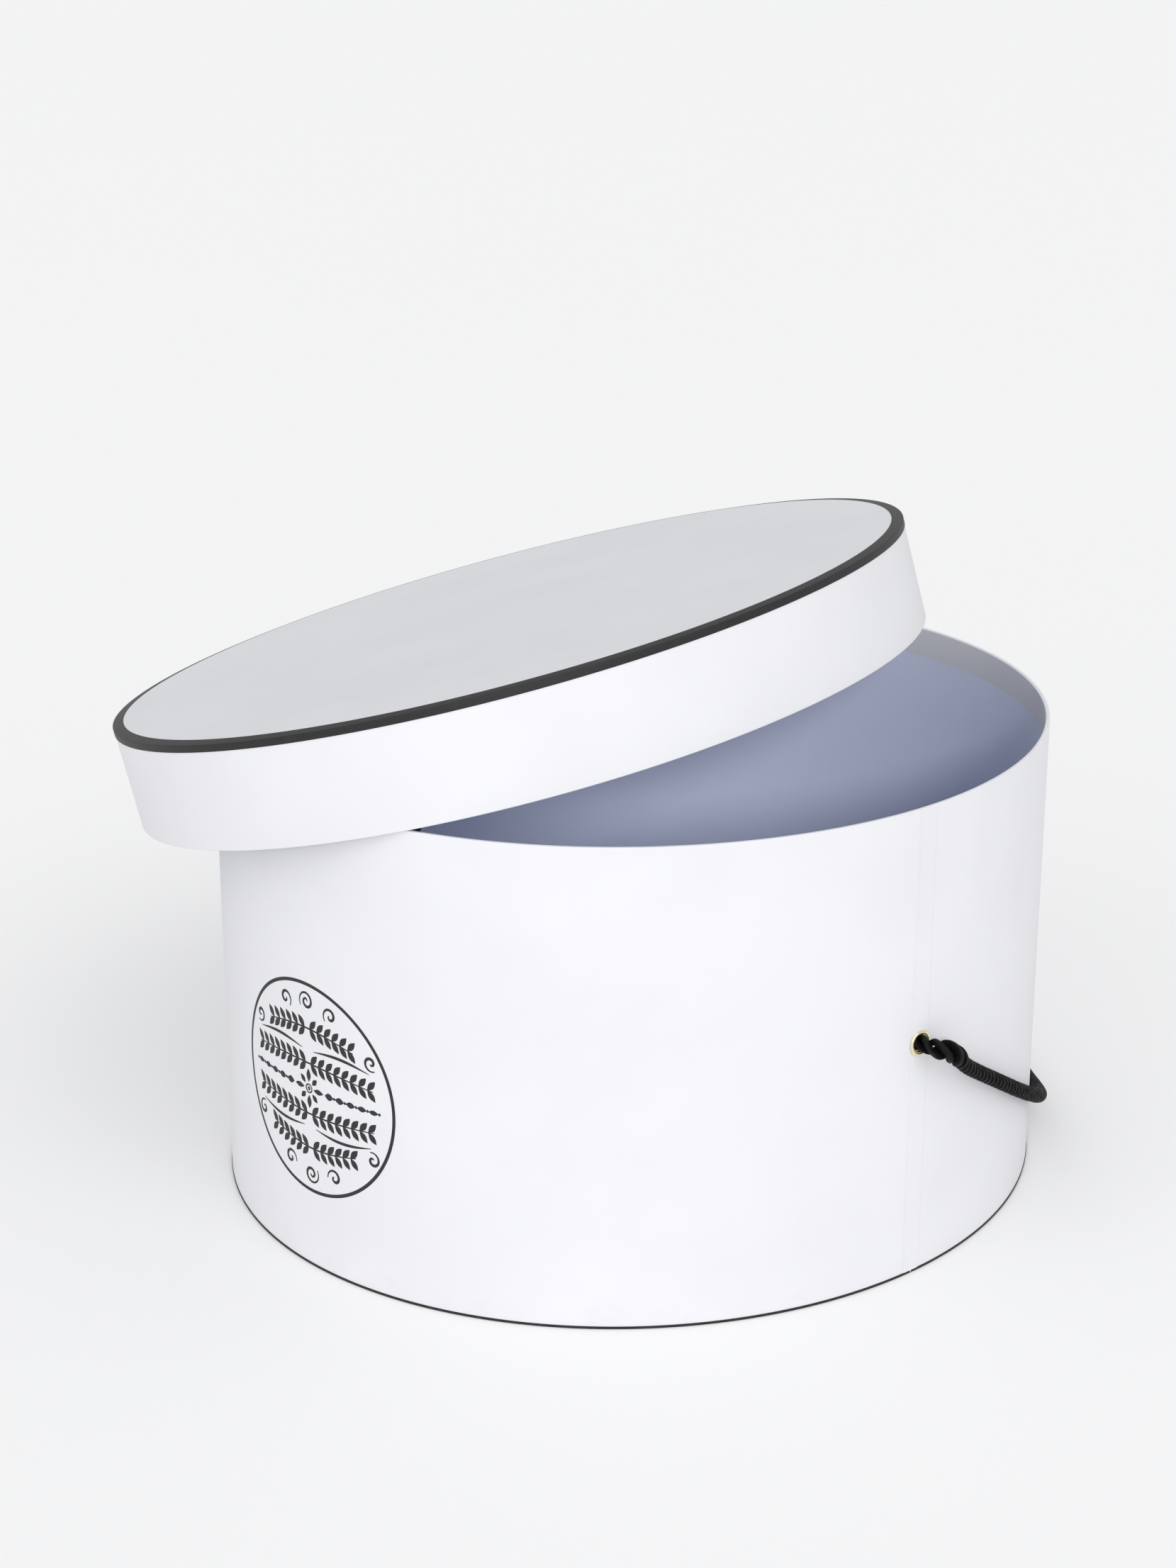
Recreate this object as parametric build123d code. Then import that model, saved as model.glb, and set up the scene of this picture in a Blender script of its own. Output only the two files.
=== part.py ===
from build123d import *
from math import cos, hypot, pi, radians, sin, sqrt, tan
import os

# A hat box of bent board covered in paper: a slightly oval drum, and a shallow lid that has been put down
# across the rim, turned and pushed aside, so that it leans. Millimetres, +Z up. The origin is the centre of
# the underside. X runs across the oval, from eyelet to eyelet, and Y runs along it, with the front at -Y.

# Drum
BOX_WIDTH = 369.0
BOX_LENGTH = 391.0
BOX_HEIGHT = 217.0
PAPER = 0.2
WALL_BOARD = 1.6
BASE_BOARD = 2.0
TURN_IN = 14.5
LAP_WIDTH = 10.0

# Black tape around the foot
FOOT_TAPE = 0.25
FOOT_TAPE_HEIGHT = 1.2
FOOT_TAPE_UNDER = 8.0
FOOT_TAPE_SEAM = 0.5

# Lid, in its own place: z = 0 is the underside that rests on the rim
LID_CLEARANCE = 0.7
LID_DEPTH = 45.8
LID_TOP_BOARD = 1.8
LID_SKIRT_BOARD = 1.5
LID_TURN_IN = 12.0
LID_TAPE = 0.3
LID_TAPE_TOP = 5.3
LID_TAPE_SIDE = 3.3
LID_EDGE_DROP = 0.8

# How the lid has been put down: where its middle is, how far it is turned, and the gap at what it rests on
LID_SHIFT_X = -57.4
LID_SHIFT_Y = -27.5
LID_TURN = 38.0
REST_GAP = 0.35

# Eyelets, one at each end of the short axis
EYELET_HEIGHT = 110.0
EYELET_BARREL_D = 8.6
EYELET_WALL = 0.4
EYELET_FLANGE_D = EYELET_BARREL_D + 3.4
EYELET_FLANGE = 0.8
EYELET_LIP_D = EYELET_BARREL_D + 1.6
EYELET_LIP = 0.5
EYELET_CLEARANCE = 0.1
WASHER_D = EYELET_BARREL_D + 4.4
WASHER = 0.6

# Cord handle
CORD_D = 7.0
KNOT_D = EYELET_BARREL_D + 6.4
KNOT_FACE_DEPTH = 6.0
KNOT_TAIL = 16.0
ARC_SHARE = 0.45

# Outside the drum: out of the right eyelet and down along the wall, over the floor behind the drum, and up
# to the left eyelet. It starts and ends on the knots inside.
CORD_ROUTE = [
    (191.5, 0.0, 110.0),
    (197.5, 7.5, 108.3),
    (194.8, 17.0, 98.5),
    (190.0, 30.0, 90.0),
    (183.5, 54.5, 75.0),
    (173.5, 82.5, 57.8),
    (154.5, 117.5, 37.8),
    (128.0, 150.0, 20.5),
    (96.0, 178.5, 9.0),
    (61.0, 204.0, 4.0),
    (20.0, 221.0, 3.6),
    (-24.0, 225.0, 3.6),
    (-66.0, 210.0, 4.0),
    (-100.0, 179.5, 9.5),
    (-130.0, 149.0, 22.0),
    (-156.0, 116.0, 40.5),
    (-174.5, 81.0, 62.0),
    (-184.0, 53.0, 80.0),
    (-189.5, 29.5, 95.5),
    (-194.5, 17.0, 103.5),
    (-197.5, 7.5, 109.5),
    (-191.5, 0.0, 110.0),
]

# Layers, as distances out from the drum's outer face
COVER_IN = -PAPER
BOARD_IN = COVER_IN - WALL_BOARD
LINING_IN = BOARD_IN - PAPER

# Layers of the lid's skirt, as distances out from the drum's outer face
LID_IN = LID_CLEARANCE
LID_LINING_OUT = LID_IN + PAPER
LID_BOARD_OUT = LID_LINING_OUT + LID_SKIRT_BOARD
LID_OUT = LID_BOARD_OUT + PAPER
LID_TAPE_OUT = LID_OUT + LID_TAPE
LID_TAPE_IN = LID_TAPE_OUT - LID_TAPE_TOP
LID_BOARD_TOP = PAPER + LID_TOP_BOARD
LID_EDGE_TOP = LID_BOARD_TOP - LID_EDGE_DROP

FAR = BOX_WIDTH + BOX_LENGTH


def outline(offset):
    """The oval of the drum's outer face, this far out from it."""
    return Ellipse(BOX_WIDTH / 2 + offset, BOX_LENGTH / 2 + offset)


def slab(offset, bottom, top):
    """A solid oval between two heights."""
    return Pos(0, 0, bottom) * extrude(outline(offset), top - bottom)


def band(outer, inner, bottom, top):
    """An oval tube between two heights."""
    return slab(outer, bottom, top) - slab(inner, bottom - 1, top + 1)


def taper(lower_offset, upper_offset, bottom, top):
    """A solid whose oval shrinks or grows evenly between two heights."""
    return loft([Pos(0, 0, bottom) * outline(lower_offset), Pos(0, 0, top) * outline(upper_offset)], ruled=True)


def rod_x(diameter, start, end, height=EYELET_HEIGHT):
    """A round bar along X."""
    return Pos(start, 0, height) * Rot(0, 90, 0) * Cylinder(
        diameter / 2, end - start, align=(Align.CENTER, Align.CENTER, Align.MIN)
    )


def tube_x(outer, inner, start, end):
    """A round tube along X."""
    return rod_x(outer, start, end) - rod_x(inner, start - 1, end + 1)


def with_eyelet_holes(shape):
    """The same shape with both eyelet holes through it."""
    hole = EYELET_BARREL_D + 2 * EYELET_CLEARANCE
    return shape - rod_x(hole, -FAR, FAR)


def sagitta(radius, chord):
    """How far an arc stands off the middle of a chord."""
    return radius - sqrt(radius * radius - chord * chord / 4)


# Drum

def make_wall_board():
    return with_eyelet_holes(band(COVER_IN, BOARD_IN, FOOT_TAPE, BOX_HEIGHT - PAPER))


def make_wall_cover():
    """Paper outside, over the rim and turned in, with a lap where its ends meet at the right eyelet."""
    outside = band(0, COVER_IN, FOOT_TAPE, BOX_HEIGHT)
    rim = band(0, LINING_IN, BOX_HEIGHT - PAPER, BOX_HEIGHT)
    turned_in = band(BOARD_IN, LINING_IN, BOX_HEIGHT - TURN_IN, BOX_HEIGHT)
    lap_length = BOX_HEIGHT - FOOT_TAPE_HEIGHT
    lap = band(PAPER, 0, FOOT_TAPE_HEIGHT, BOX_HEIGHT) & (
        Pos(FAR / 2, 0, FOOT_TAPE_HEIGHT + lap_length / 2) * Box(FAR, LAP_WIDTH, lap_length)
    )
    return with_eyelet_holes(outside + rim + turned_in + lap)


def make_wall_lining():
    return with_eyelet_holes(band(BOARD_IN, LINING_IN, FOOT_TAPE + BASE_BOARD, BOX_HEIGHT - TURN_IN))


def make_base_board():
    return slab(BOARD_IN, FOOT_TAPE, FOOT_TAPE + BASE_BOARD)


def make_base_lining():
    return slab(LINING_IN, FOOT_TAPE + BASE_BOARD, FOOT_TAPE + BASE_BOARD + PAPER)


def make_base_cover():
    return slab(-FOOT_TAPE_UNDER, 0, FOOT_TAPE)


def make_base_edge_tape():
    """Tape folded round the foot, with a fine gap where its ends meet."""
    side = band(FOOT_TAPE, 0, 0, FOOT_TAPE_HEIGHT)
    under = band(FOOT_TAPE, -FOOT_TAPE_UNDER, 0, FOOT_TAPE)
    seam = Pos(FAR / 2, 0, 0) * Box(FAR, FOOT_TAPE_SEAM, 4 * FOOT_TAPE_HEIGHT)
    return side + under - seam


# Eyelets and cord, made at the right end and turned to the left end

def washer_seat():
    """The inner face of the wall, where the rim of a washer meets it."""
    half_width = BOX_WIDTH / 2 + LINING_IN
    half_length = BOX_LENGTH / 2 + LINING_IN
    return half_width - sagitta(half_length * half_length / half_width, WASHER_D)


def lip_face():
    """The inner face of an eyelet's rolled lip, which a knot bears on."""
    return washer_seat() - WASHER - EYELET_LIP


def make_eyelet(lap):
    """A flange outside, seated on the cover or on its lap, a barrel, and a lip rolled over the washer."""
    flange_seat = BOX_WIDTH / 2 + lap
    flange_face = flange_seat + EYELET_FLANGE
    bore = EYELET_BARREL_D - 2 * EYELET_WALL
    flange = tube_x(EYELET_FLANGE_D, bore, flange_seat, flange_face)
    rounded = flange.edges().filter_by(GeomType.CIRCLE).filter_by(
        lambda edge: abs(edge.radius - EYELET_FLANGE_D / 2) < 0.01 and edge.center().X > flange_seat + 0.01
    )
    flange = fillet(rounded, EYELET_FLANGE / 2)
    barrel = tube_x(EYELET_BARREL_D, bore, lip_face(), flange_face)
    lip = tube_x(EYELET_LIP_D, bore, lip_face(), lip_face() + EYELET_LIP)
    return flange + barrel + lip


def make_washer():
    return tube_x(WASHER_D, EYELET_BARREL_D + 2 * EYELET_CLEARANCE, washer_seat() - WASHER, washer_seat())


def make_knot():
    """A round knot, flat where it bears on the lip, with a short tail that hangs down."""
    face = lip_face()
    middle = Pos(face - KNOT_FACE_DEPTH, 0, EYELET_HEIGHT)
    ball = middle * Sphere(KNOT_D / 2)
    tail = middle * Cylinder(CORD_D / 2, KNOT_TAIL, align=(Align.CENTER, Align.CENTER, Align.MAX))
    return (ball + tail) & rod_x(4 * KNOT_D, face - 2 * KNOT_D, face)


def make_cord():
    """Straight runs joined by arcs, each as large as its shorter run allows."""
    ends = [Vector(side * lip_face(), 0, EYELET_HEIGHT) for side in (1, -1)]
    points = [ends[0], *(Vector(*point) for point in CORD_ROUTE), ends[1]]
    runs = [end - start for start, end in zip(points, points[1:])]
    radii = []
    for before, after in zip(runs, runs[1:]):
        half_turn = radians(before.get_angle(after)) / 2
        radii.append(ARC_SHARE * min(before.length, after.length) / tan(half_turn))
    path = FilletPolyline(*points, radius=radii)
    start = Plane(origin=path @ 0, z_dir=path % 0)
    cord = sweep(start * Circle(CORD_D / 2), path=path)
    print("cord radii:", [round(radius, 1) for radius in radii])
    print("cord length:", round(path.length, 1), "volume ratio:",
          round(cord.volume / (pi * CORD_D * CORD_D / 4 * path.length), 4))
    return cord


# Lid

def crossings(centre, x_dir, y_dir, normal):
    """Seen from above, the two places where the skirt's lower inner edge crosses the drum's outer edge."""
    half_width = BOX_WIDTH / 2
    half_length = BOX_LENGTH / 2

    def place(angle):
        across = (half_width + LID_IN) * cos(angle)
        along = (half_length + LID_IN) * sin(angle)
        return centre + x_dir * across + y_dir * along - normal * LID_DEPTH

    def outside(angle):
        point = place(angle)
        return (point.X / half_width) ** 2 + (point.Y / half_length) ** 2 > 1

    found = []
    steps = 180
    for step in range(steps):
        low = 2 * pi * step / steps
        high = 2 * pi * (step + 1) / steps
        started_outside = outside(low)
        if started_outside == outside(high):
            continue
        for _ in range(40):
            middle = (low + high) / 2
            if outside(middle) == started_outside:
                low = middle
            else:
                high = middle
        found.append(place(low))
    return found


def resting_plane():
    """The lid's own plane as it leans: its underside touches the rim on the low side, and the lower edge of
    its skirt touches the rim at the two places where they cross. Each pass tilts the lid half of the way to
    the plane through those three contacts."""
    half_width = BOX_WIDTH / 2
    half_length = BOX_LENGTH / 2
    turn = radians(LID_TURN)
    first_tilt = 0.25
    aside = hypot(LID_SHIFT_X, LID_SHIFT_Y)
    tilt_x = first_tilt * LID_SHIFT_X / aside
    tilt_y = first_tilt * LID_SHIFT_Y / aside
    for _ in range(60):
        normal = Vector(tilt_x, tilt_y, sqrt(1 - tilt_x * tilt_x - tilt_y * tilt_y))
        reach = hypot(half_width * tilt_x, half_length * tilt_y)
        contact_x = half_width * half_width * tilt_x / reach
        contact_y = half_length * half_length * tilt_y / reach
        rise = (tilt_x * (LID_SHIFT_X - contact_x) + tilt_y * (LID_SHIFT_Y - contact_y)) / normal.Z
        centre = Vector(LID_SHIFT_X, LID_SHIFT_Y, BOX_HEIGHT + REST_GAP - rise)
        facing = Vector(cos(turn), sin(turn), 0)
        x_dir = (facing - normal * facing.dot(normal)).normalized()
        y_dir = normal.cross(x_dir)
        one, other = crossings(centre, x_dir, y_dir, normal)
        one_x, one_y = one.X - contact_x, one.Y - contact_y
        other_x, other_y = other.X - contact_x, other.Y - contact_y
        spread = one_x * other_y - one_y * other_x
        tilt_x = (tilt_x + LID_DEPTH * (one_y - other_y) / spread) / 2
        tilt_y = (tilt_y + LID_DEPTH * (other_x - one_x) / spread) / 2
    return Plane(origin=centre, x_dir=x_dir, z_dir=normal)


def make_lid_top_board():
    """The top's board, its edge pressed down under the tape."""
    flat = slab(LID_BOARD_OUT, PAPER, LID_EDGE_TOP)
    return flat + taper(LID_BOARD_OUT, LID_TAPE_IN, LID_EDGE_TOP, LID_BOARD_TOP)


def make_lid_top_paper():
    return slab(LID_TAPE_IN, LID_BOARD_TOP, LID_BOARD_TOP + PAPER)


def make_lid_top_lining():
    return slab(LID_LINING_OUT, 0, PAPER)


def make_lid_skirt_board():
    return band(LID_BOARD_OUT, LID_LINING_OUT, PAPER - LID_DEPTH, PAPER)


def make_lid_skirt_cover():
    """Paper outside the skirt, under its lower edge and turned in."""
    outside = band(LID_OUT, LID_BOARD_OUT, -LID_DEPTH, LID_EDGE_TOP)
    edge = band(LID_OUT, LID_IN, -LID_DEPTH, PAPER - LID_DEPTH)
    turned_in = band(LID_LINING_OUT, LID_IN, -LID_DEPTH, LID_TURN_IN - LID_DEPTH)
    return outside + edge + turned_in


def make_lid_skirt_lining():
    return band(LID_LINING_OUT, LID_IN, LID_TURN_IN - LID_DEPTH, 0)


def make_lid_edge_tape():
    """Tape over the top corner: a sloping strip on the top and an upright strip on the skirt."""
    corner_top = LID_EDGE_TOP + LID_TAPE
    bottom = corner_top - LID_TAPE_SIDE
    outer = slab(LID_TAPE_OUT, bottom, corner_top)
    outer += taper(LID_TAPE_OUT, LID_TAPE_IN, corner_top, LID_BOARD_TOP + LID_TAPE)
    skirt = slab(LID_OUT, bottom - 1, LID_EDGE_TOP)
    board = taper(LID_BOARD_OUT, LID_TAPE_IN, LID_EDGE_TOP, LID_BOARD_TOP)
    middle = slab(LID_TAPE_IN, bottom - 1, LID_BOARD_TOP + 2 * LID_TAPE)
    return outer - skirt - board - middle


def write(name, shape):
    export_step(shape, f"parts/{name}.step")


def main():
    os.makedirs("parts", exist_ok=True)
    drum = {
        "wall_board": make_wall_board(),
        "wall_cover": make_wall_cover(),
        "wall_lining": make_wall_lining(),
        "base_board": make_base_board(),
        "base_lining": make_base_lining(),
        "base_cover": make_base_cover(),
        "base_edge_tape": make_base_edge_tape(),
        "handle_cord": make_cord(),
    }
    for side, turn, lap in (("right", 0, PAPER), ("left", 180, 0)):
        place = Rot(0, 0, turn)
        drum[f"eyelet_{side}"] = place * make_eyelet(lap)
        drum[f"eyelet_washer_{side}"] = place * make_washer()
        drum[f"cord_knot_{side}"] = place * make_knot()
    lid = {
        "lid_top_board": make_lid_top_board(),
        "lid_top_paper": make_lid_top_paper(),
        "lid_top_lining": make_lid_top_lining(),
        "lid_skirt_board": make_lid_skirt_board(),
        "lid_skirt_cover": make_lid_skirt_cover(),
        "lid_skirt_lining": make_lid_skirt_lining(),
        "lid_edge_tape": make_lid_edge_tape(),
    }
    leaning = resting_plane()
    for name, shape in drum.items():
        write(name, shape)
    for name, shape in lid.items():
        write(name, leaning.location * shape)
    print("lid:", leaning)


main()
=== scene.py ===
"""A paper-covered hat box, built round the frame of its solid model: an oval drum with a taped foot, a
twisted cord handle through brass eyelets, and a shallow taped lid that leans across its rim.
Metres, +Z up."""

from bisect import bisect_left
from math import atan2, cos, hypot, pi, radians, sin

import bpy
from bpy.props import FloatProperty, FloatVectorProperty, PointerProperty
from mathutils import Matrix, Vector


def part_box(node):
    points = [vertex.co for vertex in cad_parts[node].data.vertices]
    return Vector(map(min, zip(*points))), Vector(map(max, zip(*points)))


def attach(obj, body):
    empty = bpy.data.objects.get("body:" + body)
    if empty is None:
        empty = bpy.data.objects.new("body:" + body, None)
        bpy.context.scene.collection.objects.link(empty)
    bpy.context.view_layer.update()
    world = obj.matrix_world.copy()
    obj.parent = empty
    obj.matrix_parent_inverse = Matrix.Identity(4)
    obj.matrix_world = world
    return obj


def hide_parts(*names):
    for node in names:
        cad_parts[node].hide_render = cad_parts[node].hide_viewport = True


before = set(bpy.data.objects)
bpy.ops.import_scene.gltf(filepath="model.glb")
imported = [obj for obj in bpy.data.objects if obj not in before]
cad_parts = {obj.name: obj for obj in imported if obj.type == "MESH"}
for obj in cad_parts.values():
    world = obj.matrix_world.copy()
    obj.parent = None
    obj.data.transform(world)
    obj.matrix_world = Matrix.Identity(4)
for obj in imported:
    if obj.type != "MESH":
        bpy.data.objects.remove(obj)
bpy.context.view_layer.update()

bl_info = {
    "name": "Hat box",
    "version": (1, 0, 0),
    "blender": (4, 5, 0),
    "location": "View3D > Sidebar > Hat box",
    "description": "Models a leaning-lid hat box round its frame",
    "category": "Object",
}

MM = 0.001
AROUND = 288
EYELET_AROUND = 72
ARC_STEPS = 5
SMOOTH_ANGLE = radians(32)

BOARD_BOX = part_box("wall_board")
COVER_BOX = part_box("wall_cover")
LINING_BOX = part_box("wall_lining")
TAPE_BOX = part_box("base_edge_tape")
EYELET_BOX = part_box("eyelet_right")
WASHER_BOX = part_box("eyelet_washer_right")
KNOT_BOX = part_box("cord_knot_right")
LEFT_EYELET_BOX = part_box("eyelet_left")
RIM_Z = COVER_BOX[1].z
PAPER = RIM_Z - BOARD_BOX[1].z
HALF_WIDTH = BOARD_BOX[1].x + PAPER
HALF_LENGTH = BOARD_BOX[1].y + PAPER
BOARD = 1.6 * MM
BOARD_IN = -(PAPER + BOARD)
LINING_IN = BOARD_IN - PAPER
UNDER_PAPER = BOARD_BOX[0].z
TURN_IN_Z = LINING_BOX[1].z
EYELET_Z = (EYELET_BOX[0].z + EYELET_BOX[1].z) / 2
EYELET_RADIUS = (EYELET_BOX[1].z - EYELET_BOX[0].z) / 2
BORE_RADIUS = 3.9 * MM
BARREL_RADIUS = 4.3 * MM
LIP_RADIUS = 5.1 * MM
LIP_FACE = EYELET_BOX[0].x
FLANGE = 0.8 * MM
EYELET_CLEARANCE = 0.1 * MM
FOOT_TAPE_UNDER = 8 * MM
LAP_EDGE = 5.1 * MM
LAP_SELECT = 5.2 * MM

LID_CLEARANCE = 0.7 * MM
LID_LINING_OUT = LID_CLEARANCE + PAPER
LID_BOARD_OUT = LID_LINING_OUT + 1.5 * MM
LID_OUT = LID_BOARD_OUT + PAPER
LID_DEPTH = 45.8 * MM
LID_BOARD_TOP = 2.0 * MM
LID_EDGE_DROP = 0.8 * MM
LID_TURN_IN = 12.0 * MM
TAPE = 0.3 * MM
TAPE_TOP = 5.3 * MM
TAPE_SIDE = 3.3 * MM
SHEET_EDGE = 0.05 * MM

BOARD_COLOUR = (0.36, 0.34, 0.31)
FIBRE_DEPTH = 0.012 * MM
NOISE_ROUGHNESS = 0.55

# The route of the cord handle, from outside the right eyelet round the back to the left one
CORD_ROUTE = [
    (0.1915, 0.0, 0.1100),
    (0.1975, 0.0075, 0.1083),
    (0.1948, 0.0170, 0.0985),
    (0.1900, 0.0300, 0.0900),
    (0.1835, 0.0545, 0.0750),
    (0.1735, 0.0825, 0.0578),
    (0.1545, 0.1175, 0.0378),
    (0.1280, 0.1500, 0.0205),
    (0.0960, 0.1785, 0.0090),
    (0.0610, 0.2040, 0.0040),
    (0.0200, 0.2210, 0.0036),
    (-0.0240, 0.2250, 0.0036),
    (-0.0660, 0.2100, 0.0040),
    (-0.1000, 0.1795, 0.0095),
    (-0.1300, 0.1490, 0.0220),
    (-0.1560, 0.1160, 0.0405),
    (-0.1745, 0.0810, 0.0620),
    (-0.1840, 0.0530, 0.0800),
    (-0.1895, 0.0295, 0.0955),
    (-0.1945, 0.0170, 0.1035),
    (-0.1975, 0.0075, 0.1095),
    (-0.1915, 0.0, 0.1100),
]
STRANDS = 3

# The ornament is drawn with this radius, and scaled to the one in the settings
ORNAMENT_UNITS = 51.8


# Selecting and shaping

def deselect():
    """Nothing is selected, and no object is being edited."""
    if bpy.context.object and bpy.context.object.mode != "OBJECT":
        bpy.ops.object.mode_set(mode="OBJECT")
    bpy.ops.object.select_all(action="DESELECT")


def only(piece):
    """The piece alone is selected and active."""
    deselect()
    piece.select_set(True)
    bpy.context.view_layer.objects.active = piece


def select_faces(piece, wanted):
    """In edit mode, only the faces whose centre and normal are wanted are selected."""
    bpy.ops.object.mode_set(mode="OBJECT")
    mesh = piece.data
    for vertex in mesh.vertices:
        vertex.select = False
    for edge in mesh.edges:
        edge.select = False
    for face in mesh.polygons:
        face.select = wanted(face.center, face.normal)
    bpy.ops.object.mode_set(mode="EDIT")
    bpy.ops.mesh.select_mode(type="FACE")


def finish_shape(piece, angle=SMOOTH_ANGLE):
    """Doubles merged, normals outward, soft edges smooth."""
    only(piece)
    bpy.ops.object.mode_set(mode="EDIT")
    bpy.ops.mesh.select_all(action="SELECT")
    bpy.ops.mesh.remove_doubles(threshold=1e-6)
    bpy.ops.mesh.normals_make_consistent(inside=False)
    bpy.ops.object.mode_set(mode="OBJECT")
    bpy.ops.object.shade_smooth_by_angle(angle=angle)


def apply_modifier(piece, kind, **settings):
    only(piece)
    modifier = piece.modifiers.new(kind.title(), kind)
    for name, value in settings.items():
        setattr(modifier, name, value)
    bpy.ops.object.modifier_apply(modifier=modifier.name)


def cut(piece, cutter):
    """Takes the cutter out of the piece, and removes the cutter."""
    apply_modifier(piece, "BOOLEAN", operation="DIFFERENCE", solver="EXACT", object=cutter)
    bpy.data.objects.remove(cutter)


def place(piece, matrix):
    """Moves a finished piece and leaves its object at the origin."""
    only(piece)
    piece.matrix_world = matrix
    bpy.ops.object.transform_apply(location=True, rotation=True, scale=True)
    return piece


def join(name, pieces):
    only(pieces[0])
    for piece in pieces[1:]:
        piece.select_set(True)
    if len(pieces) > 1:
        bpy.ops.object.join()
    pieces[0].name = name
    return pieces[0]


def arc(centre, radius, start, end):
    """Points of an arc in a section, as (distance out, height), angles in degrees from outward to up."""
    points = []
    for step in range(ARC_STEPS + 1):
        angle = radians(start + (end - start) * step / ARC_STEPS)
        points.append((centre[0] + radius * cos(angle), centre[1] + radius * sin(angle)))
    return points


def oval(name, section, closed=True):
    """Carries a section, as (distance out from the drum's face, height), round the oval of the drum. An open
    section makes a solid sheet, filled in at both its ends."""
    deselect()
    bpy.ops.mesh.primitive_circle_add(vertices=AROUND, radius=1, fill_type="NOTHING", enter_editmode=True)
    centre = (0, 0, 0)
    out, height = section[0]
    wide, long = HALF_WIDTH + out, HALF_LENGTH + out
    bpy.ops.transform.resize(value=(wide, long, 1), center_override=centre)
    bpy.ops.transform.translate(value=(0, 0, height))
    rest = section[1:] + section[:1] if closed else section[1:]
    for out, next_height in rest:
        bpy.ops.mesh.extrude_edges_move(TRANSFORM_OT_translate={"value": (0, 0, next_height - height)})
        next_wide, next_long = HALF_WIDTH + out, HALF_LENGTH + out
        bpy.ops.transform.resize(value=(next_wide / wide, next_long / long, 1), center_override=centre)
        wide, long, height = next_wide, next_long, next_height
    if not closed:
        bpy.ops.mesh.edge_face_add()
        select_open_edges()
        bpy.ops.mesh.edge_face_add()
    piece = bpy.context.object
    piece.name = name
    return piece


def disc(name, out, bottom, top):
    """A thin oval sheet with a softened upper edge."""
    return oval(name, [(out, bottom), (out, top - SHEET_EDGE), (out - SHEET_EDGE, top)], closed=False)


def select_open_edges():
    bpy.ops.mesh.select_mode(type="EDGE")
    bpy.ops.mesh.select_all(action="DESELECT")
    bpy.ops.mesh.select_non_manifold(
        extend=False, use_wire=False, use_multi_face=False, use_non_contiguous=False,
        use_verts=False, use_boundary=True)


def turned(name, section):
    """Turns a section, as (distance from the eyelet's axis, place along X), about the right eyelet's axis."""
    deselect()
    radius, along = section[0]
    bpy.ops.mesh.primitive_circle_add(
        vertices=EYELET_AROUND, radius=radius, fill_type="NOTHING", enter_editmode=True,
        location=(along, 0, EYELET_Z), rotation=(0, pi / 2, 0),
    )
    bpy.ops.object.mode_set(mode="OBJECT")
    bpy.ops.object.transform_apply(location=True, rotation=True, scale=True)
    bpy.ops.object.mode_set(mode="EDIT")
    bpy.ops.mesh.select_all(action="SELECT")
    for next_radius, next_along in section[1:] + section[:1]:
        bpy.ops.mesh.extrude_edges_move(TRANSFORM_OT_translate={"value": (next_along - along, 0, 0)})
        share = next_radius / radius
        bpy.ops.transform.resize(value=(1, share, share), center_override=(0, 0, EYELET_Z))
        radius, along = next_radius, next_along
    piece = bpy.context.object
    piece.name = name
    finish_shape(piece, radians(40))
    return piece


def copy_turned_round(piece, name):
    """A copy with its own mesh, turned half way round the drum."""
    copy = piece.copy()
    copy.data = piece.data.copy()
    copy.name = name
    bpy.context.collection.objects.link(copy)
    return place(copy, Matrix.Rotation(pi, 4, "Z"))


# Shading

class Amount:
    """A number in a shader. Arithmetic on it adds Math nodes."""

    def __init__(self, finish, socket):
        self.finish = finish
        self.socket = socket

    def math(self, operation, *values):
        """The outcome of a Math node on these values."""
        return Amount(self.finish, self.finish.node("ShaderNodeMath", {"operation": operation}, *values))

    def __add__(self, other):
        return self.math("ADD", self, other)

    def __radd__(self, other):
        return self.math("ADD", other, self)

    def __sub__(self, other):
        return self.math("SUBTRACT", self, other)

    def __rsub__(self, other):
        return self.math("SUBTRACT", other, self)

    def __mul__(self, other):
        return self.math("MULTIPLY", self, other)

    def __rmul__(self, other):
        return self.math("MULTIPLY", other, self)

    def absolute(self):
        """The amount without its sign."""
        return self.math("ABSOLUTE", self)

    def fraction(self):
        """What is left over the whole number below."""
        return self.math("FRACT", self)

    def smooth(self, low, high):
        """0 below low, 1 above high, and smooth between them."""
        kind = {"interpolation_type": "SMOOTHSTEP"}
        return Amount(self.finish, self.finish.node("ShaderNodeMapRange", kind, self, low, high, 0.0, 1.0))


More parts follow.
